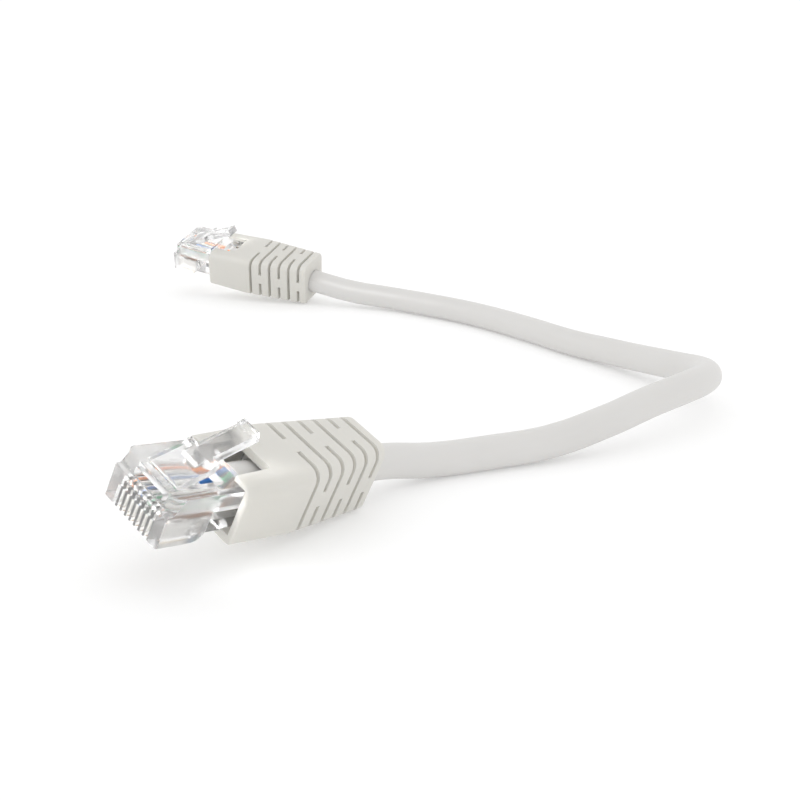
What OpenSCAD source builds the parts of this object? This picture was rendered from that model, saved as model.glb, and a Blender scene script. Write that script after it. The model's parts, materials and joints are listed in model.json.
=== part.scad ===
// Short network patch lead: a round jacketed cable with the same moulded end
// on each side. Each end is a clear eight-contact plug with a sprung latch,
// eight coloured conductors, eight gilt blades and a slotted strain-relief boot.
//
// An end is drawn along +X in its own frame: x = 0 at the plug's nose, y = 0
// on its middle, z = 0 on its contact face, and the latch on top. It is then
// placed by the point where its cable leaves the boot.

/* [Plug] */
// Width of the clear plug
plug_w = 11.68; // [11:0.01:14.2]
// Length of the clear plug
plug_l = 21.5; // [18:0.1:26]
// Height of the plug's main body
plug_h = 7; // [6.9:0.1:8.6]
// Height of the lower block at the nose
nose_h = 4.6; // [4.4:0.1:5.6]
// How far the upper block stands back from the nose
nose_ledge = 0.9; // [0.5:0.1:1.4]
// How far the plug's underside steps up inside the boot
rear_step = 0.2; // [0.1:0.05:0.3]

/* [Contacts and conductors] */
// Spacing of the contacts
contact_pitch = 1.02; // [1.02:0.01:1.24]
// Thickness of a contact blade
blade_t = 0.32; // [0.24:0.01:0.4]
// Width of a contact's slot
slot_w = 0.6; // [0.5:0.01:0.72]
// Height of a contact's slot above the contact face
slot_h = 2.8; // [2.3:0.1:3]
// Diameter of an insulated conductor
wire_d = 0.86; // [0.7:0.01:0.88]
// Height of the row of conductors above the contact face
wire_z = 3.6; // [3.5:0.1:3.9]

/* [Latch] */
// Width of the latch at its shoulders
latch_w = 6.16; // [5:0.01:7.4]
// Width of the finger tab
tab_w = 3.24; // [2.6:0.01:4]
// Thickness of the latch plate
latch_t = 0.96; // [0.8:0.01:1.06]
// Length from the hinge to the shoulders
shoulder_l = 5.9; // [5:0.1:7]
// Length from the hinge to the tip of the tab
latch_l = 13; // [10.9:0.1:15.6]
// Angle that the free latch stands up at
latch_angle = 23.4; // [20:0.1:28]

/* [Boot] */
// Distance from the plug's nose to the front of the boot
boot_front = 11.3; // [10:0.1:13.2]
// Length of the boot behind the plug
boot_tail = 16.45; // [13.7:0.05:19.75]
// Thickness of the boot's side walls around the plug
boot_side = 0.96; // [0.7:0.01:1.6]
// Thickness of the boot's floor under the plug, at the front
boot_floor = 1.1; // [0.8:0.01:1.6]
// Thickness of the boot's roof over the plug, at the front
boot_roof = 0.76; // [0.6:0.01:1.6]
// Rise of the roof from the front to the hump
hump_rise = 0.9; // [0:0.1:1.8]
// Further rise of the roof from the hump to the rear
rear_rise = 1.2; // [0:0.1:1.5]
// Wall between the boot's side and the cable, at the rear
rear_wall = 2; // [1.8:0.1:3]
// Width of the thumb window over the latch tab
window_w = 7; // [5.6:0.1:8.4]
// Length of the thumb window
window_l = 5.7; // [4:0.1:8]
// Width of a strain-relief groove
groove_w = 0.6; // [0.3:0.05:0.8]
// Depth of a strain-relief groove
groove_depth = 1.2; // [0.6:0.05:1.3]

/* [Cable] */
// Outside diameter of the cable
cable_d = 5.5; // [4.5:0.1:5.6]
// Height of the cable's axis above the contact face
cable_z = 3.7; // [3.6:0.05:3.9]
// How far the jacket reaches into the plug
jacket_in = 7.5; // [5:0.1:8]

/* [Fits] */
// Clearance between pieces that are pressed or moulded together
fit = 0.05; // [0.03:0.01:0.08]
// Gap between neighbouring conductors where they lie in a ring in the jacket
ring_gap = 0.16; // [0.05:0.01:0.2]
// Clearance around the latch's hinge
hinge_fit = 0.06; // [0.03:0.01:0.1]
// Clearance between the latch and the plug at its full travel
latch_fit = 0.15; // [0.1:0.05:0.3]

/* [Hidden] */
$fn = 48;
eps = 0.01;

// Each end: where the cable leaves its boot, and its roll, pitch and heading.
exit_a = [23.5, -63, 5.95];
turn_a = [22, 9.5, 48.5];
exit_b = [8.5, 74, 5.75];
turn_b = [18, 10, -22];

// The free cable's route from boot to boot.
route = [
    [28.5, -57.5, 4.6], [35.5, -52.5, 3], [44.5, -48.5, 2.8], [54.5, -44.5, 3.2], [64.5, -39.5, 5.1],
    [72.5, -34, 6.7], [79.5, -28.5, 7.5], [84, -23, 7.4], [86, -17.5, 6.8], [86, -11.5, 5.9],
    [84.5, -6, 5], [81.5, -0.5, 4.4], [78, 5.5, 3.8], [73.5, 13, 3.2], [67, 22, 2.8],
    [60.5, 32, 2.8], [53.5, 42, 2.8], [46, 51, 2.8], [37, 59, 2.9], [28, 65.5, 3.1],
    [18, 70, 3.9]
];
cable_sides = 12;

// Plug
half_w = plug_w / 2;
nose_bevel = 0.5;
contact_count = 8;
block_l = 7.2;          // length of the full-width contact block
jacket_x = plug_l - jacket_in;
fan_x = jacket_x - 5.2; // where the conductors leave their channels
fan_w = (contact_count - 1) * contact_pitch + wire_d + 0.28;    // the hollow in which they fan in
fan_h = 3.9;
flank_wall = 0.3;       // left between that hollow and the flanks
flank_depth = half_w - fan_w / 2 - flank_wall;  // how far the flanks are cut in
flank_h = 4.4;
flank_end = boot_front + 2.4;
flank_r = 2.2;          // round of the flanks' upper rear corner
lobe_r = 2;             // round of the contact block's lower rear corner

// Conductors
channel_d = wire_d + 0.06;
wire_start = 1.4;
wire_in_jacket = 1.6;
wire_sides = 10;
ring_r = (wire_d + ring_gap) / (2 * sin(180 / contact_count));  // their ring in the jacket
bore_d = 2 * ring_r + wire_d + 0.2;
bore_l = 7;
wedge_x = jacket_x - 1.2;   // the opening over the jacket's end
wedge_l = 5.4;
wedge_w = 5.4;
wedge_low = 5;

// Blades
blade_x = 0.7;
blade_l = 5;
blade_low = 0.35;
tooth_l = 0.9;
tooth_up = 0.35;        // how far a tooth bites into its conductor

// Latch
hinge_r = 0.5;
hinge_x = nose_ledge + 2.1;
hinge_z = plug_h - 0.4;
press = 12;             // the latch's travel, in degrees
rib_x = 2.6;            // where the tab's raised rib starts
rib_up = 0.34;
shoulder_block = 1.5;
lip_l = 1.1;

// Boot
pocket_end = plug_l + fit;
boot_end = pocket_end + boot_tail;
hump_x = plug_l + 0.5;
boot_half = half_w + fit + boot_side;
boot_low = -fit - boot_floor;
boot_top = plug_h + fit + boot_roof;
rear_half = cable_d / 2 + fit + rear_wall;
edge_bevel = 0.4;
floor_rise = 0.24;      // the floor is this much higher at the rear
groove_count = 6;
groove_land = 1.85;     // left before the first groove and behind the last
groove_start = pocket_end + groove_land;
groove_pitch = (boot_tail - 2 * groove_land) / (groove_count - 1);
roof_bridge = 3;        // land left across the roof between two half grooves
side_bridge = 2.4;      // land left on a side
mouth_gap = 0.45;       // hollow under the plug at the boot's mouth
mouth_l = 3;

// The eight positions: conductor n lies at pin_y(n), and goes to ring_at(n) in the jacket.
function pin_y(n) = (4.5 - n) * contact_pitch;
function ring_at(n) =
    let (side = n % 2 == 0 ? 1 : -1, angle = 22.5 + 45 * floor((n - 1) / 2))
    [ring_r * cos(angle), side * ring_r * sin(angle)];

// ---- sweeping ----

function unit(v) = v / norm(v);

// A direction that is square to t, and as near upright as can be.
function square_up(t) = unit(cross(t, unit(cross([0, 0, 1], t))));

function ring_of(at, along, radius, sides) =
    let (t = unit(along), u = square_up(t), v = cross(t, u))
    [for (k = [0:sides - 1]) let (a = 360 * (k + 0.5) / sides) at + radius * (cos(a) * u + sin(a) * v)];

// The solid through a list of rings that all have as many points.
module loft(rings) {
    m = len(rings[0]);
    last = len(rings) - 1;
    sides = [for (i = [0:last - 1], k = [0:m - 1])
        let (a = i * m + k, b = i * m + (k + 1) % m)
        each [[a, b, a + m], [b, b + m, a + m]]];
    polyhedron(
        points = [for (r = rings) each r],
        faces = concat(sides, [[for (k = [m - 1:-1:0]) k]], [[for (k = [0:m - 1]) last * m + k]]),
        convexity = 8);
}

// A round tube through points, square to first at its start and to last at its end.
module sweep(points, radius, sides, first, last) {
    n = len(points) - 1;
    loft([for (i = [0:n])
        ring_of(points[i],
            i == 0 ? first : i == n ? last : unit(points[i + 1] - points[i]) + unit(points[i] - points[i - 1]),
            radius, sides)]);
}

// ---- placing an end ----

module place(exit, turn) {
    translate(exit) rotate(turn) translate([-boot_end, 0, -cable_z]) children();
}
module at_a() { place(exit_a, turn_a) children(); }
module at_b() { place(exit_b, turn_b) children(); }

// The direction in which an end's cable leaves it.
function leaving(turn) =
    [cos(turn[2]) * cos(turn[1]), sin(turn[2]) * cos(turn[1]), -sin(turn[1])];

// ---- the cable ----

module cable() {
    color([0.86, 0.86, 0.84])
        sweep(concat([exit_a], route, [exit_b]), cable_d / 2, cable_sides,
            leaving(turn_a), -leaving(turn_b));
}

// ---- the clear plug ----

// A profile in x and z, carried across the plug's middle.
module across(width) {
    rotate([90, 0, 0]) linear_extrude(width, center = true) children();
}

module plug_outline() {
    step_x = boot_front - 0.1;
    polygon([
        [0, 0], [step_x, 0], [step_x, rear_step], [plug_l, rear_step],
        [plug_l, plug_h], [nose_ledge, plug_h],
        [nose_ledge, nose_h], [nose_bevel, nose_h], [0, nose_h - nose_bevel]
    ]);
}

// The flank behind the contact block, with the block's round lower corner left standing.
module flank_outline() {
    difference() {
        translate([block_l - lobe_r, -eps]) square([flank_end - block_l + lobe_r, flank_h + eps]);
        translate([flank_end - flank_r, flank_h - flank_r])
            difference() {
                square(flank_r + eps);
                circle(flank_r);
            }
        translate([block_l - lobe_r - eps, lobe_r]) square([lobe_r + eps, flank_h]);
        translate([block_l - lobe_r, lobe_r]) circle(lobe_r);
    }
}

// Room for the latch's root and for the plate when it is pressed down.
module latch_recess() {
    low = latch_angle - press;
    across(latch_w + 2 * latch_fit) {
        translate([hinge_x, hinge_z]) circle(hinge_r + hinge_fit);
        translate([hinge_x, hinge_z]) rotate(low)
            translate([0, -latch_t / 2 - latch_fit]) square([plug_l, plug_h]);
        translate([hinge_x, hinge_z]) square([plug_l - hinge_x - 4, plug_h]);
    }
}

module plug_body() {
    color([0.9, 0.93, 0.95, 0.45])
    difference() {
        across(plug_w) plug_outline();
        for (side = [-1, 1])
            translate([0, side * (half_w - flank_depth / 2 + eps), 0])
                across(flank_depth + 2 * eps) flank_outline();
        intersection() {
            latch_recess();
            translate([0, -half_w, 5.2]) cube([boot_front - 1, plug_w, plug_h]);
        }
        for (n = [1:contact_count]) translate([0, pin_y(n), 0]) {
            translate([-eps, -slot_w / 2, -eps]) cube([blade_x + blade_l + fit + eps, slot_w, slot_h + eps]);
            translate([blade_x - fit, -blade_t / 2 - fit, 0]) cube([blade_l + 2 * fit, blade_t + 2 * fit, wire_z]);
            translate([wire_start - fit, 0, wire_z]) rotate([0, 90, 0])
                cylinder(d = channel_d, h = fan_x - wire_start + 2 * fit, $fn = 24);
        }
        translate([fan_x, -fan_w / 2, cable_z - fan_h / 2]) cube([jacket_x - fan_x + eps, fan_w, fan_h]);
        translate([jacket_x - 0.2, 0, cable_z]) rotate([0, 90, 0])
            cylinder(d = cable_d + 2 * fit, h = jacket_in + 0.2 + eps);
        translate([wedge_x, -wedge_w / 2, wedge_low]) cube([wedge_l, wedge_w, plug_h]);
    }
}

// ---- the latch ----

module latch() {
    wide = latch_w / 2;
    color([0.92, 0.95, 0.97, 0.45])
    translate([hinge_x, 0, hinge_z]) rotate([0, -latch_angle, 0]) {
        rotate([90, 0, 0]) cylinder(r = hinge_r, h = latch_w, center = true);
        translate([0, -wide, -latch_t / 2]) cube([shoulder_l, latch_w, latch_t]);
        translate([rib_x, -tab_w / 2, -latch_t / 2]) cube([latch_l - rib_x, tab_w, latch_t + rib_up]);
        for (side = [-1, 1])
            translate([shoulder_l - shoulder_block, min(side * wide, side * tab_w / 2 - side * eps), 0])
                cube([shoulder_block, wide - tab_w / 2 + eps, latch_t / 2 + rib_up]);
        translate([latch_l - lip_l, -tab_w / 2, 0]) cube([lip_l, tab_w, latch_t / 2 + 2 * rib_up]);
    }
}

// ---- the eight gilt blades ----

module blade_outline() {
    top = wire_z - wire_d / 2;
    union() {
        translate([blade_x, blade_low]) square([blade_l, top - 0.3 - blade_low]);
        for (x = [blade_x + 1.1, blade_x + 3])
            polygon([[x, top - 0.4], [x + tooth_l, top - 0.4], [x + tooth_l / 2 + 0.1, top + tooth_up],
                [x + tooth_l / 2 - 0.1, top + tooth_up]]);
    }
}

module contacts() {
    color([0.88, 0.72, 0.35])
    for (n = [1:contact_count])
        translate([0, pin_y(n), 0]) across(blade_t) blade_outline();
}

// ---- the conductors ----

module wire(n, tint) {
    start = [wire_start, pin_y(n), wire_z];
    lift = (n % 2 == 0 ? 1 : -1) * 0.62;
    ring = ring_at(n);
    stop = jacket_x + wire_in_jacket;
    fan = jacket_x - fan_x;
    points = [
        start,
        [fan_x, pin_y(n), wire_z],
        [fan_x + fan * 0.25, pin_y(n) * 0.94, wire_z + lift * 0.4],
        [fan_x + fan * 0.5, pin_y(n) * 0.78, wire_z + lift],
        [fan_x + fan * 0.78, (pin_y(n) * 0.78 + ring[0]) / 2, (wire_z + lift + cable_z + ring[1]) / 2],
        [jacket_x - 0.1, ring[0], cable_z + ring[1]],
        [stop, ring[0], cable_z + ring[1]]
    ];
    color(tint) sweep(points, wire_d / 2, wire_sides, [1, 0, 0], [1, 0, 0]);
}

module wire_1() { wire(1, [0.95, 0.85, 0.78]); }
module wire_2() { wire(2, [0.93, 0.5, 0.25]); }
module wire_3() { wire(3, [0.85, 0.93, 0.87]); }
module wire_4() { wire(4, [0.15, 0.42, 0.68]); }
module wire_5() { wire(5, [0.82, 0.88, 0.94]); }
module wire_6() { wire(6, [0.3, 0.6, 0.45]); }
module wire_7() { wire(7, [0.9, 0.87, 0.83]); }
module wire_8() { wire(8, [0.5, 0.36, 0.27]); }

// ---- the jacket's end inside the boot and the plug ----

module jacket_end() {
    color([0.86, 0.86, 0.84])
    translate([jacket_x, 0, cable_z]) rotate([0, 90, 0])
        difference() {
            cylinder(d = cable_d, h = boot_end - jacket_x);
            translate([0, 0, -eps]) cylinder(d = bore_d, h = bore_l + eps);
        }
}

// ---- the boot ----

// Half the boot's width at x, which narrows from the hump to the rear.
function half_at(x) = boot_half + (rear_half - boot_half) * max(0, (x - hump_x) / (boot_end - hump_x));

// Height of the boot's roof at x, from the hump on.
function roof_at(x) = boot_top + hump_rise + rear_rise * max(0, (x - hump_x) / (boot_end - hump_x));

// The boot's outside: its outline from above, cut by its outline from the side.
module boot_shape() {
    rear_top = roof_at(boot_end);
    intersection() {
        translate([0, 0, boot_low]) linear_extrude(rear_top - boot_low)
            polygon([
                [boot_front, -boot_half], [hump_x, -boot_half], [boot_end, -rear_half],
                [boot_end, rear_half], [hump_x, boot_half], [boot_front, boot_half]
            ]);
        across(3 * boot_half)
            polygon([
                [boot_front, boot_low + edge_bevel], [boot_front + edge_bevel, boot_low],
                [boot_end - edge_bevel, boot_low + floor_rise], [boot_end, boot_low + floor_rise + edge_bevel],
                [boot_end, rear_top - edge_bevel], [boot_end - edge_bevel, rear_top],
                [hump_x, roof_at(hump_x)], [boot_front, boot_top]
            ]);
    }
}

// One strain-relief groove. An even one crosses the roof whole and is parted
// on the sides, an odd one is parted on the roof and the floor.
module groove(i) {
    x = groove_start + i * groove_pitch;
    even = i % 2 == 1;
    roof = roof_at(x);
    half = half_at(x);
    land = even ? [2 * half + 4, side_bridge] : [roof_bridge, roof - boot_low + 4];
    middle = [0, even ? cable_z + 0.3 : (roof + boot_low) / 2];
    translate([x - groove_w / 2, 0, 0]) rotate([90, 0, 90]) linear_extrude(groove_w)
        difference() {
            translate([-half - 1, boot_low - 1]) square([2 * half + 2, roof - boot_low + 2]);
            translate([groove_depth - half, boot_low + groove_depth])
                square([2 * (half - groove_depth), roof - boot_low - 2 * groove_depth]);
            translate(middle) square(land, center = true);
        }
}

module boot() {
    pocket_w = plug_w + 2 * fit;
    color([0.84, 0.83, 0.8])
    difference() {
        boot_shape();
        translate([boot_front - eps, -pocket_w / 2, rear_step - fit])
            cube([pocket_end - boot_front + eps, pocket_w, plug_h - rear_step + 2 * fit]);
        translate([boot_front - eps, -half_w + flank_depth, rear_step - fit - mouth_gap])
            cube([mouth_l, plug_w - 2 * flank_depth, mouth_gap + eps]);
        translate([boot_front - eps, -window_w / 2, plug_h])
            cube([window_l + eps, window_w, boot_roof + hump_rise + 2]);
        translate([pocket_end - eps, 0, cable_z]) rotate([0, 90, 0])
            cylinder(d = cable_d + 2 * fit, h = boot_end - pocket_end + 2 * eps);
        for (i = [0:groove_count - 1]) groove(i);
    }
}

cable();

at_a() plug_body();  // plug_body_a
at_a() latch();  // latch_a
at_a() contacts();  // contacts_a
at_a() boot();  // boot_a
at_a() jacket_end();  // jacket_end_a
at_a() wire_1();  // wire_1_white_orange_a
at_a() wire_2();  // wire_2_orange_a
at_a() wire_3();  // wire_3_white_green_a
at_a() wire_4();  // wire_4_blue_a
at_a() wire_5();  // wire_5_white_blue_a
at_a() wire_6();  // wire_6_green_a
at_a() wire_7();  // wire_7_white_brown_a
at_a() wire_8();  // wire_8_brown_a

at_b() plug_body();  // plug_body_b
at_b() latch();  // latch_b
at_b() contacts();  // contacts_b
at_b() boot();  // boot_b
at_b() jacket_end();  // jacket_end_b
at_b() wire_1();  // wire_1_white_orange_b
at_b() wire_2();  // wire_2_orange_b
at_b() wire_3();  // wire_3_white_green_b
at_b() wire_4();  // wire_4_blue_b
at_b() wire_5();  // wire_5_white_blue_b
at_b() wire_6();  // wire_6_green_b
at_b() wire_7();  // wire_7_white_brown_b
at_b() wire_8();  // wire_8_brown_b
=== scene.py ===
"""Short network patch lead: a light grey cable with the same clear eight-contact plug
and slotted strain-relief boot on each end, in metres in the frame of its CAD model."""

import json
import math

import bpy
from mathutils import Matrix, Vector


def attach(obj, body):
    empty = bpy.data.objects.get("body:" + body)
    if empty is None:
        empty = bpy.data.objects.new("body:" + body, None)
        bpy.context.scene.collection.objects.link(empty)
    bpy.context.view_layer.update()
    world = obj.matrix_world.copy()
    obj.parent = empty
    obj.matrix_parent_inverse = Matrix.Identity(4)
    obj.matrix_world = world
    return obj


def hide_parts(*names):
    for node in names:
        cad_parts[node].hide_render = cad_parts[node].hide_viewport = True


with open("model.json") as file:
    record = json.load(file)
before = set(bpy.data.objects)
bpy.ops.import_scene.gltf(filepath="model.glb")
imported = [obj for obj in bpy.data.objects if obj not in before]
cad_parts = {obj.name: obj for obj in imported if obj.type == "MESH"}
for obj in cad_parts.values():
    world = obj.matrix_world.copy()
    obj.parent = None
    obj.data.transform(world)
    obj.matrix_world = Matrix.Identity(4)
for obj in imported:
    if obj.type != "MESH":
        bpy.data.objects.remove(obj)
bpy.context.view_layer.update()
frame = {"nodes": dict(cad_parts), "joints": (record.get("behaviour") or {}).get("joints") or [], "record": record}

# ---- camera ----
# A normal lens a hand's breadth above the table, looking along the near plug
# towards the bend of the cable, tilted down so that the whole lead lies in view.

lens = bpy.data.cameras.new("camera")
lens.lens = 54
lens.sensor_width = 36
lens.clip_start = 0.01
camera = bpy.data.objects.new("camera", lens)
camera.location = (0.0305, -0.227, 0.066)
camera.rotation_euler = (math.radians(90 - 17), 0, 0)
bpy.context.scene.collection.objects.link(camera)
bpy.context.scene.camera = camera

# ---- the cable ----
# Four twisted pairs under a round PVC jacket, smooth and slightly glossy from the
# extruder. It leaves each boot along the boot's own line and lies in one loose bend.


class Socket:
    """A socket of a material: signs make Math nodes from it, and node() makes any other."""

    def __init__(self, tree, socket=None):
        self.tree = tree
        self.socket = socket

    def node(self, kind, settings=None, sockets=None, output=0):
        made = self.tree.nodes.new("ShaderNode" + kind)
        for name, value in (settings or {}).items():
            setattr(made, name, value)
        for name, value in (sockets or {}).items():
            if isinstance(value, Socket):
                self.tree.links.new(value.socket, made.inputs[name])
            else:
                made.inputs[name].default_value = value
        return Socket(self.tree, made.outputs[output])

    def math(self, operation, first, second):
        return self.node("Math", {"operation": operation}, {0: first, 1: second})

    def __add__(self, other):
        return self.math("ADD", self, other)

    def __rsub__(self, other):
        return self.math("SUBTRACT", other, self)

    def __mul__(self, other):
        return self.math("MULTIPLY", self, other)

    def __gt__(self, other):
        return self.math("GREATER_THAN", self, other)

    def noise(self, scale, detail=2.0):
        """Soft clouds, from 0 to 1, with about scale of them to the metre."""
        return self.node("TexNoise", None, {"Vector": self, "Scale": scale, "Detail": detail})

    def mixed(self, first, second):
        """The first colour where this mask is 0, and the second where it is 1."""
        return self.node("Mix", {"data_type": "RGBA"}, {0: self, 6: first, 7: second}, 2)

    def bump(self, depth):
        return self.node("Bump", None, {"Height": self, "Distance": depth, "Strength": 1.0})

    __radd__ = __add__
    __rmul__ = __mul__


def material(name, constants):
    """A new material, its shader's sockets, and its surface's place in the frame."""
    made = bpy.data.materials.new(name)
    made.use_nodes = True
    shader = made.node_tree.nodes["Principled BSDF"]
    for key, value in constants.items():
        shader.inputs[key].default_value = value
    place = Socket(made.node_tree).node("TexCoord", None, None, "Object")
    return made, shader, place


def feed(shader, **links):
    """Leads a pattern into each named socket, with _ for a space in the name."""
    for name, source in links.items():
        source.tree.links.new(source.socket, shader.inputs[name.replace("_", " ")])


def pvc(name, tint, shade, roughness, grain, depth):
    """Coloured PVC: faintly cloudy, letting a little light in, with a fine grain of
    that many marks to the metre."""
    made, shader, place = material(
        name,
        {
            "Specular IOR Level": 0.45,
            "Subsurface Weight": 0.3,
            "Subsurface Radius": (1.0, 0.95, 0.85),
            "Subsurface Scale": 0.002,
        },
    )
    clouds = place.noise(90, 3)
    skin = place.noise(grain, 3)
    feed(
        shader,
        Base_Color=clouds.mixed(tint, shade),
        Roughness=roughness + 0.12 * clouds + 0.08 * skin,
        Normal=skin.bump(depth),
    )
    return made


jacket_pvc = pvc(
    "jacket PVC", (0.69, 0.68, 0.665, 1), (0.65, 0.64, 0.625, 1), 0.34, 2500, 0.000006
)
cable_d = 0.0055
exits = {"a": (0.0235, -0.063, 0.00595), "b": (0.0085, 0.074, 0.00575)}
route = [
    (0.0285, -0.0575, 0.0046), (0.0355, -0.0525, 0.0030), (0.0445, -0.0485, 0.0028),
    (0.0545, -0.0445, 0.0032), (0.0645, -0.0395, 0.0051), (0.0725, -0.0340, 0.0067),
    (0.0795, -0.0285, 0.0075), (0.0840, -0.0230, 0.0074), (0.0860, -0.0175, 0.0068),
    (0.0860, -0.0115, 0.0059), (0.0845, -0.0060, 0.0050), (0.0815, -0.0005, 0.0044),
    (0.0780, 0.0055, 0.0038), (0.0735, 0.0130, 0.0032), (0.0670, 0.0220, 0.0028),
    (0.0605, 0.0320, 0.0028), (0.0535, 0.0420, 0.0028), (0.0460, 0.0510, 0.0028),
    (0.0370, 0.0590, 0.0029), (0.0280, 0.0655, 0.0031), (0.0180, 0.0700, 0.0039),
]


MM = 0.001
jack_fit_z = 3.5


def end_frame(end):
    """Takes millimetres in an end's own frame to where it lies: x from the nose to the
    cable, y across the contacts, z from the contact face to the latch."""
    nose = next(m for m in frame["record"]["mounts"] if m["name"] == f"plug_{end}_jack_fit")
    hinge = next(j for j in frame["joints"] if j["name"] == f"latch_{end}_press")
    along = -Vector(nose["axis"]).normalized()
    across = Vector(hinge["axis"]).normalized()
    up = along.cross(across)
    start = Vector(nose["pos_m"]) - jack_fit_z * MM * up
    turn = Matrix((along, across, up)).transposed().to_4x4()
    return Matrix.Translation(start) @ turn @ Matrix.Scale(MM, 4)


end_frames = {end: end_frame(end) for end in "ab"}
straight_out = 0.0022


def lay_cable():
    """The cable's centreline as one smooth curve, straight out of each boot."""
    curve = bpy.data.curves.new("cable", "CURVE")
    curve.dimensions = "3D"
    curve.bevel_depth = cable_d / 2
    curve.bevel_resolution = 10
    curve.resolution_u = 8
    curve.use_fill_caps = True
    line = curve.splines.new("BEZIER")
    points = [exits["a"], *route, exits["b"]]
    line.bezier_points.add(len(points) - 1)
    for knot, point in zip(line.bezier_points, points):
        knot.co = point
        knot.handle_left_type = knot.handle_right_type = "AUTO"
    for knot, end, sign in ((line.bezier_points[0], "a", 1), (line.bezier_points[-1], "b", -1)):
        reach = straight_out * sign * end_frames[end].to_3x3().col[0].normalized()
        knot.handle_left_type = knot.handle_right_type = "FREE"
        knot.handle_left = knot.co - reach
        knot.handle_right = knot.co + reach
    return curve


cable = bpy.data.objects.new("cable_jacket", lay_cable())
bpy.context.scene.collection.objects.link(cable)
cable.data.materials.append(jacket_pvc)
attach(cable, "lead")
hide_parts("cable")

# ---- the jacket's cut ends ----
# Inside each boot the jacket runs on into the plug and is cut square, so that the
# four pairs leave it and fan out. It shows through the thumb window and the plug.


def own_box(node, end):
    """A CAD node's lowest and highest corners in its end's own frame, in millimetres."""
    inverse = end_frames[end].inverted()
    points = [inverse @ v.co for v in frame["nodes"][f"{node}_{end}"].data.vertices]
    return Vector(map(min, zip(*points))), Vector(map(max, zip(*points)))


def only(piece):
    """Makes this piece the one that is selected and active."""
    bpy.ops.object.select_all(action="DESELECT")
    piece.select_set(True)
    bpy.context.view_layer.objects.active = piece


TURNS = {"x": (0, math.pi / 2, 0), "y": (math.pi / 2, 0, 0), "z": (0, 0, 0)}


def rod(low, length, radius, axis="x", sides=48):
    """A round bar from the middle of its low end, along one of the end's own axes."""
    bpy.ops.object.select_all(action="DESELECT")
    middle = Vector(low)
    middle["xyz".index(axis)] += length / 2
    bpy.ops.mesh.primitive_cylinder_add(
        vertices=sides, radius=radius, depth=length, location=middle, rotation=TURNS[axis]
    )
    bpy.ops.object.transform_apply(location=True, rotation=True, scale=True)
    return bpy.context.object


def combine(piece, other, operation="DIFFERENCE"):
    """Cuts other out of the piece, or joins it on, and takes other away."""
    only(piece)
    change = piece.modifiers.new("combine", "BOOLEAN")
    change.operation = operation
    change.solver = "EXACT"
    change.object = other
    bpy.ops.object.modifier_apply(modifier=change.name)
    bpy.data.objects.remove(other)


def soften(piece, width, segments=2, angle=35):
    """Breaks every sharp edge a little, as a mould leaves it, and smooths the shading."""
    only(piece)
    change = piece.modifiers.new("soften", "BEVEL")
    change.width = width
    change.segments = segments
    change.limit_method = "ANGLE"
    change.angle_limit = math.radians(angle)
    bpy.ops.object.modifier_apply(modifier=change.name)
    bpy.ops.object.mode_set(mode="EDIT")
    bpy.ops.mesh.select_all(action="SELECT")
    bpy.ops.mesh.remove_doubles(threshold=0.002)
    bpy.ops.mesh.normals_make_consistent(inside=False)
    bpy.ops.object.mode_set(mode="OBJECT")
    bpy.ops.object.shade_smooth_by_angle(angle=math.radians(30))


def both_ends(model, node, finish):
    """Copies a model to each end in place of a CAD node, and takes the model away."""
    pieces = []
    for end in "ab":
        mesh = model.data.copy()
        mesh.transform(end_frames[end])
        mesh.materials.clear()
        mesh.materials.append(finish)
        piece = bpy.data.objects.new(f"{node}_{end}_visual", mesh)
        bpy.context.scene.collection.objects.link(piece)
        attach(piece, f"latch_{end}" if node == "latch" else "lead")
        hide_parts(f"{node}_{end}")
        pieces.append(piece)
    bpy.data.objects.remove(model)
    return pieces


jacket_low, jacket_high = own_box("jacket_end", "a")
jacket_mid = (jacket_low + jacket_high) / 2
jacket_r = (jacket_high.z - jacket_low.z) / 2
jacket_l = jacket_high.x - jacket_low.x
jacket_sides = 72
wire_r = 0.43
wire_gap = 0.16
ring_r = (wire_r + wire_gap / 2) / math.sin(math.pi / 8)
bore_r = ring_r + wire_r + 0.1
bore_l = 7
jacket = rod((jacket_low.x, 0, jacket_mid.z), jacket_l, jacket_r, "x", jacket_sides)
bore = rod((jacket_low.x - 1, 0, jacket_mid.z), bore_l + 1, bore_r, "x", jacket_sides)
combine(jacket, bore)
soften(jacket, 0.08)
both_ends(jacket, "jacket_end", jacket_pvc)

# ---- the conductors ----
# Eight solid-colour and striped wires in glossy polythene, pushed side by side into the
# plug's channels. Behind them they fan in to the jacket, with the solid ones on top.

pitch = 1.02
wire_z = 3.6
wire_low, wire_high = own_box("wire_1_white_orange", "a")
fan_l = 5.2
fan_x = jacket_low.x - fan_l
fan_lift = 0.62
stripe = (0.4, 0.62)
WHITE = (0.8, 0.79, 0.76, 1)
INKS = {
    "orange": (0.83, 0.24, 0.04, 1),
    "green": (0.03, 0.30, 0.13, 1),
    "blue": (0.015, 0.13, 0.42, 1),
    "brown": (0.19, 0.085, 0.035, 1),
}
PAIRS = [
    "white_orange", "orange", "white_green", "blue",
    "white_blue", "green", "white_brown", "brown",
]


def insulation(name):
    """Glossy polythene in one colour, or white with a stripe of its pair's colour."""
    made, shader, place = material(name + " insulation", {"Specular IOR Level": 0.5})
    ink = INKS[name.split("_")[-1]]
    clouds = place.noise(400)
    pale = tuple(min(1, 1.25 * part) for part in ink[:3]) + (1,)
    tint = clouds.mixed(ink, pale)
    if name.startswith("white"):
        wrapped = place.node("TexCoord", None, None, "UV")
        around = place.node("SeparateXYZ", None, {0: wrapped}, 1)
        tint = ((around > stripe[0]) * (stripe[1] - around > 0)).mixed(WHITE, ink)
    feed(
        shader,
        Base_Color=tint,
        Roughness=0.26 + 0.12 * clouds,
        Normal=clouds.bump(0.00001),
    )
    return made


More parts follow.
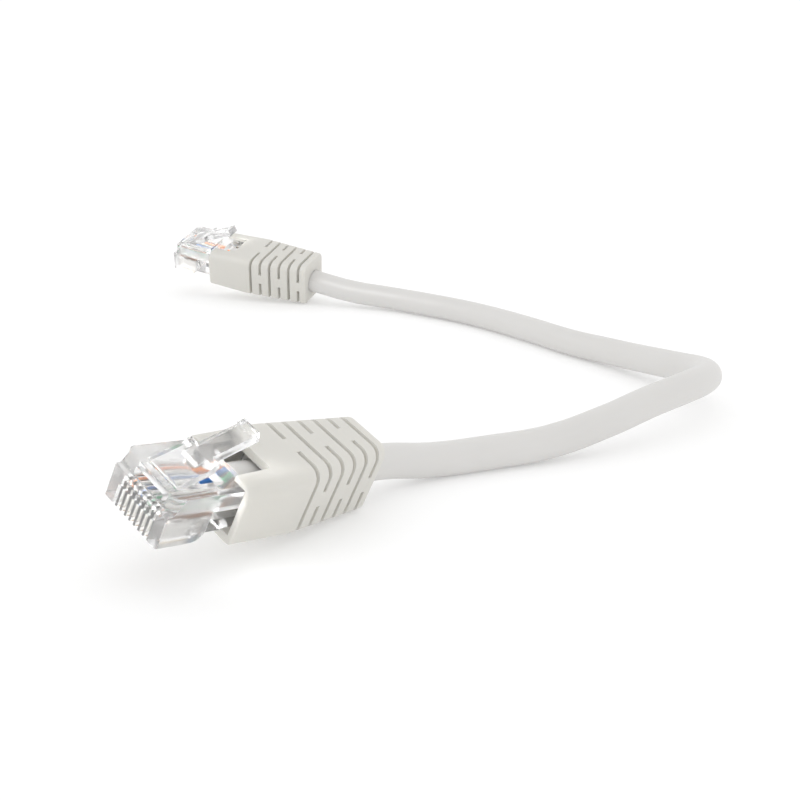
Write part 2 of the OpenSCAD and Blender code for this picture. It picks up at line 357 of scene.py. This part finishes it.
def pin_y(n):
    """The place across the plug of contact n, counted from 1."""
    return (4.5 - n) * pitch


def conductor(n):
    """Conductor n, from the nose, through its channel, into its place in the jacket."""
    side = -1 if n % 2 else 1
    angle = math.pi / 8 * (1 + 2 * ((n - 1) // 2))
    ring_y = ring_r * math.cos(angle)
    ring_z = jacket_mid.z + side * ring_r * math.sin(angle)
    lift = fan_lift * side
    y = pin_y(n)
    points = [
        (wire_low.x, y, wire_z),
        (fan_x, y, wire_z),
        (fan_x + 0.25 * fan_l, 0.94 * y, wire_z + 0.4 * lift),
        (fan_x + 0.5 * fan_l, 0.78 * y, wire_z + lift),
        (fan_x + 0.78 * fan_l, (0.78 * y + ring_y) / 2, (wire_z + lift + ring_z) / 2),
        (jacket_low.x - 0.1, ring_y, ring_z),
        (wire_high.x, ring_y, ring_z),
    ]
    curve = bpy.data.curves.new("conductor", "CURVE")
    curve.dimensions = "3D"
    curve.bevel_depth = wire_r
    curve.bevel_resolution = 5
    curve.resolution_u = 6
    curve.use_fill_caps = True
    line = curve.splines.new("BEZIER")
    line.bezier_points.add(len(points) - 1)
    for knot, point in zip(line.bezier_points, points):
        knot.co = point
        knot.handle_left_type = knot.handle_right_type = "AUTO"
    made = bpy.data.objects.new("conductor", curve)
    bpy.context.scene.collection.objects.link(made)
    only(made)
    bpy.ops.object.convert(target="MESH")
    bpy.ops.object.shade_smooth_by_angle(angle=math.radians(40))
    return bpy.context.object


for n, colours in enumerate(PAIRS, 1):
    node = f"wire_{n}_{colours}"
    both_ends(conductor(n), node, insulation(colours))

# ---- the clear plug bodies ----
# One moulding of clear polycarbonate, duller on its outer sides: a comb of eight slots
# at the nose, channels and a hollow for the conductors, and a mouth for the jacket with
# an opening over its end. It casts no shadow, because light passes through it.


def block(low, high):
    """A box in millimetres in an end's own frame, as a start or a cutter."""
    bpy.ops.object.select_all(action="DESELECT")
    low, high = Vector(low), Vector(high)
    bpy.ops.mesh.primitive_cube_add(size=1, location=(low + high) / 2, scale=high - low)
    bpy.ops.object.transform_apply(location=True, rotation=True, scale=True)
    return bpy.context.object


def at(corners, **places):
    """Whether all the corners lie at the given x, y or z."""
    return all(abs(getattr(p, axis) - v) < 0.01 for p in corners for axis, v in places.items())


def level(corners, axis):
    """Whether an edge's two ends lie at the same place along an axis."""
    first, last = (getattr(p, axis) for p in corners)
    return abs(first - last) < 0.01


def edit(piece, mode, chosen):
    """Opens the piece in edit mode with the chosen edges or faces selected."""
    only(piece)
    bpy.context.tool_settings.mesh_select_mode = (False, mode == "EDGE", mode == "FACE")
    mesh = piece.data
    for parts in (mesh.vertices, mesh.edges, mesh.polygons):
        parts.foreach_set("select", [False] * len(parts))
    parts = mesh.edges if mode == "EDGE" else mesh.polygons
    for part in parts:
        part.select = chosen([mesh.vertices[i].co for i in part.vertices])
        if part.select:
            for i in part.vertices:
                mesh.vertices[i].select = True
    bpy.ops.object.mode_set(mode="EDIT")
    if mode == "EDGE":
        bpy.ops.mesh.select_mode(type="EDGE")


def round_edges(piece, radius, segments, chosen):
    """Rounds the chosen edges of a piece."""
    edit(piece, "EDGE", chosen)
    bpy.ops.mesh.bevel(offset=radius, segments=segments, affect="EDGES")
    bpy.ops.object.mode_set(mode="OBJECT")


def polycarbonate(name, roughness):
    """Clear plastic, bright on its faces, with faint flow marks and handling haze."""
    made, shader, place = material(
        name,
        {"Transmission Weight": 0.9, "IOR": 1.45, "Base Color": (0.99, 0.99, 0.99, 1)},
    )
    haze = place.noise(350, 3)
    feed(shader, Roughness=roughness + 0.07 * haze * haze, Normal=place.noise(260).bump(0.00002))
    return made


clear = polycarbonate("clear polycarbonate", 0.12)
frosted = polycarbonate("frosted polycarbonate", 0.3)
plug_low, plug_high = own_box("plug_body", "a")
boot_low, boot_high = own_box("boot", "a")
FAR = 9
fit = 0.05
half_w = plug_high.y
nose_ledge = 0.9
nose_h = 4.6
rear_step = 0.2
block_l = 7.2
lobe_r = 2.0
fan_half = 3.5 * pitch + wire_r + 0.14
fan_low, fan_high = 1.75, 5.65
flank_in = fan_half + 0.3
flank_h = 4.4
flank_r = 2.2
flank_end = boot_low.x + 2.4
latch_w = 6.16
latch_up = 23.4
press = 12
hinge_x = 3.0
hinge_z = 6.6
hinge_room = 0.56
recess_half = latch_w / 2 + 0.15
recess_low = hinge_z - 0.62
recess_end = 10

plug = block(plug_low, plug_high)
combine(plug, block((-1, -FAR, nose_h), (nose_ledge, FAR, FAR)))
combine(plug, block((boot_low.x - 0.1, -FAR, -1), (plug_high.x + 1, FAR, rear_step)))
round_edges(plug, 1.3, 6, lambda c: at(c, x=nose_ledge) and level(c, "y") and abs(c[0].y) > 5)
round_edges(
    plug, 0.45, 4, lambda c: at(c, x=0) and (level(c, "y") or level(c, "z") and c[0].z > 4)
)
for side in (-1, 1):
    low, high = sorted((side * flank_in, side * (half_w + 1)))
    flank = block((block_l - lobe_r, low, -1), (flank_end, high, flank_h))
    round_edges(flank, flank_r, 8, lambda c: at(c, x=flank_end, z=flank_h))
    combine(flank, block((block_l - lobe_r - 1, -FAR, lobe_r), (block_l, FAR, FAR)))
    combine(flank, rod((block_l - lobe_r, -FAR, lobe_r), 2 * FAR, lobe_r, "y"))
    combine(plug, flank)
soften(plug, 0.14)

recess = block((hinge_x, -recess_half, recess_low), (recess_end, recess_half, 2 * FAR))
edit(recess, "FACE", lambda c: at(c, z=recess_low))
bpy.ops.transform.rotate(
    value=math.radians(press - latch_up),
    orient_axis="Y",
    center_override=(hinge_x, 0, recess_low),
)
bpy.ops.object.mode_set(mode="OBJECT")
combine(plug, recess)
combine(plug, rod((hinge_x, -recess_half, hinge_z), 2 * recess_half, hinge_room, "y"))

nose_pocket = block((-1, -3, 4.85), (2.5, 3, 6.0))
round_edges(nose_pocket, 0.25, 3, lambda c: not level(c, "x"))
combine(plug, nose_pocket)
nose_line = block((-1, -2.8, 3.75), (0.22, 2.4, 4.25))
round_edges(nose_line, 0.1, 2, lambda c: at(c, x=0.22))
combine(plug, nose_line)

slot_half, slot_h, slot_end = 0.3, 2.8, 5.75
blade_room = 0.21
channel_r = 0.46
for n in range(1, 9):
    y = pin_y(n)
    slot = block((-1, y - slot_half, -1), (slot_end, y + slot_half, slot_h))
    round_edges(slot, 0.12, 2, lambda c: not level(c, "x") and c[0].z > 0)
    combine(plug, slot)
    combine(plug, block((0.65, y - blade_room, 0.4), (slot_end, y + blade_room, wire_z)))
    combine(plug, rod((1.35, y, wire_z), fan_x - 1.3, channel_r, "x", 24))
hollow = block((fan_x, -fan_half, fan_low), (jacket_low.x + 0.01, fan_half, fan_high))
round_edges(hollow, 0.5, 3, lambda c: at(c, x=fan_x))
combine(plug, hollow)
combine(plug, rod((jacket_low.x - 0.2, 0, jacket_mid.z), FAR, jacket_r + fit, "x", 64))
wedge_half, wedge_low = 2.7, 5
wedge = block((jacket_low.x - 1.2, -wedge_half, wedge_low), (jacket_low.x + 4.2, wedge_half, FAR))
round_edges(wedge, 0.3, 3, lambda c: not level(c, "z"))
combine(plug, wedge)
only(plug)
bpy.ops.object.shade_smooth_by_angle(angle=math.radians(30))
for end, piece in zip("ab", both_ends(plug, "plug_body", clear)):
    piece.visible_shadow = False
    piece.data.materials.append(frosted)
    across = end_frames[end].to_3x3().col[1].normalized()
    centre = end_frames[end].translation.dot(across)
    for face in piece.data.polygons:
        outer = abs(face.center.dot(across) - centre) > (half_w - 0.1) * MM
        face.material_index = int(outer and abs(face.normal.dot(across)) > 0.9)

# ---- the contact blades ----
# Eight thin nickel-plated plates, gold-plated on the edge that meets the socket's
# springs, each pressed down its slot until its two teeth bite into its conductor.


def plating(name, bright, worn):
    """A plated metal, rubbed a little duller where it slides."""
    made, shader, place = material(name, {"Metallic": 1.0})
    wear = place.noise(900, 3)
    feed(
        shader,
        Base_Color=wear.mixed(bright, worn),
        Roughness=0.42 + 0.16 * wear,
        Normal=place.noise(6000).bump(0.000002),
    )
    return made


gold = plating("gold plating", (0.93, 0.68, 0.30, 1), (0.87, 0.61, 0.27, 1))
nickel = plating("nickel plating", (0.88, 0.87, 0.84, 1), (0.82, 0.81, 0.78, 1))
blade_low, blade_high = own_box("contacts", "a")
blade_half = 0.16
tooth_l = 0.9
blade_top = blade_high.z - 0.75
blades = []
for n in range(1, 9):
    near, far = pin_y(n) - blade_half, pin_y(n) + blade_half
    blade = block((blade_low.x, near, blade_low.z), (blade_high.x, far, blade_top))
    for x in (blade_low.x + 1.1, blade_low.x + 3.0):
        tooth = block((x, near, blade_top - 0.2), (x + tooth_l, far, blade_high.z))
        edit(tooth, "FACE", lambda c: at(c, z=blade_high.z))
        bpy.ops.transform.resize(value=(0.2, 1, 1))
        bpy.ops.object.mode_set(mode="OBJECT")
        combine(blade, tooth, "UNION")
    soften(blade, 0.05)
    blades.append(blade)
bpy.ops.object.select_all(action="DESELECT")
for blade in blades:
    blade.select_set(True)
bpy.context.view_layer.objects.active = blades[0]
bpy.ops.object.join()
for end, piece in zip("ab", both_ends(blades[0], "contacts", nickel)):
    piece.data.materials.append(gold)
    down = -end_frames[end].to_3x3().col[2].normalized()
    for face in piece.data.polygons:
        face.material_index = int(face.normal.dot(down) > 0.5)

# ---- the latches ----
# A springy tongue of the same clear plastic, joined to the plug at its nose. It has
# two shoulders that catch in a socket, and a narrow finger tab that runs to the boot.


def ramped(low, high, run):
    """A block whose front leans back over that run, as the latch's steps do."""
    made = block(low, high)
    edit(made, "EDGE", lambda c: at(c, x=low[0], z=high[2]))
    bpy.ops.transform.translate(value=(run, 0, 0))
    bpy.ops.object.mode_set(mode="OBJECT")
    return made


latch_half = latch_w / 2
latch_l = 13
half_t = 0.48
hinge_r = 0.5
shoulder_l = 5.9
shoulder_x = 3.9
tab_half = 1.62
rib_x = 2.6
rib_up = 0.34
lip_x = 11.9
step_run = 1.2
latch = block((0, -latch_half, -half_t), (shoulder_l, latch_half, half_t))
round_edges(latch, 0.9, 4, lambda c: at(c, x=shoulder_l) and level(c, "y"))
rib = ramped((rib_x, -tab_half, 0), (latch_l, tab_half, half_t + rib_up), step_run)
combine(latch, rib, "UNION")
combine(latch, block((5, -tab_half, -half_t), (latch_l, tab_half, 0.1)), "UNION")
for side in (-1, 1):
    low, high = sorted((side * (tab_half - 0.05), side * latch_half))
    shoulder = ramped((shoulder_x, low, 0), (shoulder_l, high, half_t + rib_up), step_run)
    combine(latch, shoulder, "UNION")
lip = block((lip_x, -tab_half, 0), (latch_l, tab_half, half_t + 2 * rib_up))
combine(latch, lip, "UNION")
combine(latch, rod((0, -latch_half, 0), latch_w, hinge_r, "y"), "UNION")
soften(latch, 0.08, 3, 50)
raised = Matrix.Rotation(math.radians(-latch_up), 4, "Y")
latch.data.transform(Matrix.Translation((hinge_x, 0, hinge_z)) @ raised)
for piece in both_ends(latch, "latch", clear):
    piece.visible_shadow = False

# ---- the boots ----
# Soft PVC sleeves, moulded hollow and pushed over the plug from behind, with a thumb
# window over the latch tab. Six grooves, parted in turn on the roof and on the sides,
# let the rear bend with the cable.

boot_pvc = pvc(
    "boot PVC", (0.675, 0.662, 0.622, 1), (0.64, 0.628, 0.588, 1), 0.48, 4000, 0.000008
)
hump_x = plug_high.x + 0.5
hump_rise = 0.9
rear_rise = 1.2
floor_rise = 0.24
rear_half = 4.8
groove_count = 6
groove_w = 0.75
groove_depth = 1.2
groove_land = 1.85
groove_start = plug_high.x + fit + groove_land
groove_pitch = (boot_high.x - groove_land - groove_start) / (groove_count - 1)
roof_bridge = 1.5
side_bridge = (2.8, 5.2)
window_half = 3.5
window_x = boot_low.x + 5.7


def sleeve(inset, top_r, bottom_r):
    """The boot's outside, or the shape that lies inset millimetres under it."""
    half = boot_high.y - inset
    low, high = boot_low.z + inset, boot_high.z - inset
    middle = (low + high) / 2
    made = block((boot_low.x, -half, low), (boot_high.x, half, high))
    edit(made, "FACE", lambda c: True)
    bpy.ops.mesh.bisect(plane_co=(hump_x, 0, 0), plane_no=(1, 0, 0))
    bpy.ops.object.mode_set(mode="OBJECT")
    edit(made, "FACE", lambda c: at(c, x=boot_high.x))
    bpy.ops.transform.resize(value=(1, (rear_half - inset) / half, 1))
    bpy.ops.object.mode_set(mode="OBJECT")
    for x, z, lift in (
        (hump_x, high, -rear_rise),
        (boot_low.x, high, -rear_rise - hump_rise),
        (boot_high.x, low, floor_rise),
    ):
        edit(made, "EDGE", lambda c: at(c, x=x, z=z))
        bpy.ops.transform.translate(value=(0, 0, lift))
        bpy.ops.object.mode_set(mode="OBJECT")
    for radius, segments, sign in ((top_r, 6, 1), (bottom_r, 4, -1)):
        round_edges(
            made, radius, segments,
            lambda c: not level(c, "x") and sign * (c[0].z - middle) > 0 and abs(c[0].y) > 2,
        )
    return made


boot = sleeve(0, 1.9, 0.9)
soften(boot, 0.3, 3, 50)
for i in range(groove_count):
    x = groove_start + i * groove_pitch
    ring = block((x - groove_w / 2, -FAR, -FAR), (x + groove_w / 2, FAR, 2 * FAR))
    if i % 2:
        bridge = block((x - 1, -2 * FAR, side_bridge[0]), (x + 1, 2 * FAR, side_bridge[1]))
    else:
        bridge = block((x - 1, -roof_bridge, -2 * FAR), (x + 1, roof_bridge, 3 * FAR))
    combine(ring, bridge)
    combine(ring, sleeve(groove_depth, 1.1, 0.3))
    combine(boot, ring)
pocket_half = half_w + fit
pocket = block(
    (boot_low.x - 1, -pocket_half, rear_step - fit),
    (plug_high.x + fit, pocket_half, plug_high.z + fit),
)
combine(boot, pocket)
combine(boot, rod((plug_high.x, 0, jacket_mid.z), 2 * FAR, jacket_r + fit, "x", jacket_sides))
window = block((boot_low.x - 1, -window_half, 6.5), (window_x, window_half, 2 * FAR))
round_edges(window, 0.4, 3, lambda c: at(c, x=window_x) and not level(c, "z"))
combine(boot, window)
soften(boot, 0.2, 3, 40)
both_ends(boot, "boot", boot_pvc)

# ---- floor and light ----
# A white table, faintly lit from below, under an even white sky. One small softbox, up
# on the left, only glints on glossy things: the steps of the near latch, and the cable.

bpy.ops.object.select_all(action="DESELECT")
bpy.ops.mesh.primitive_plane_add(size=12, location=(0, 0, 0))
floor = bpy.context.object
floor.name = "floor"
table, table_shader, table_place = material(
    "light table",
    {
        "Roughness": 0.7,
        "Specular IOR Level": 0.1,
        "Emission Color": (1, 1, 1, 1),
        "Emission Strength": 0.225,
    },
)
blotches = table_place.noise(3)
feed(table_shader, Base_Color=blotches.mixed((0.8, 0.8, 0.8, 1), (0.78, 0.78, 0.78, 1)))
floor.data.materials.append(table)

light = bpy.data.lights.new("left", "AREA")
light.size = 0.2
light.energy = 2.2
softbox = bpy.data.objects.new("left", light)
softbox.location = (-0.36, -0.17, 0.345)
aim = Vector((0, -0.08, 0.01)) - softbox.location
softbox.rotation_euler = aim.to_track_quat("-Z", "Y").to_euler()
softbox.visible_diffuse = False
bpy.context.scene.collection.objects.link(softbox)

world = bpy.data.worlds.new("studio")
world.use_nodes = True
bpy.context.scene.world = world
sky = world.node_tree.nodes["Background"]
sky.inputs["Color"].default_value = (1, 1, 1, 1)
sky.inputs["Strength"].default_value = 1.05
bpy.context.scene.view_settings.view_transform = "Standard"
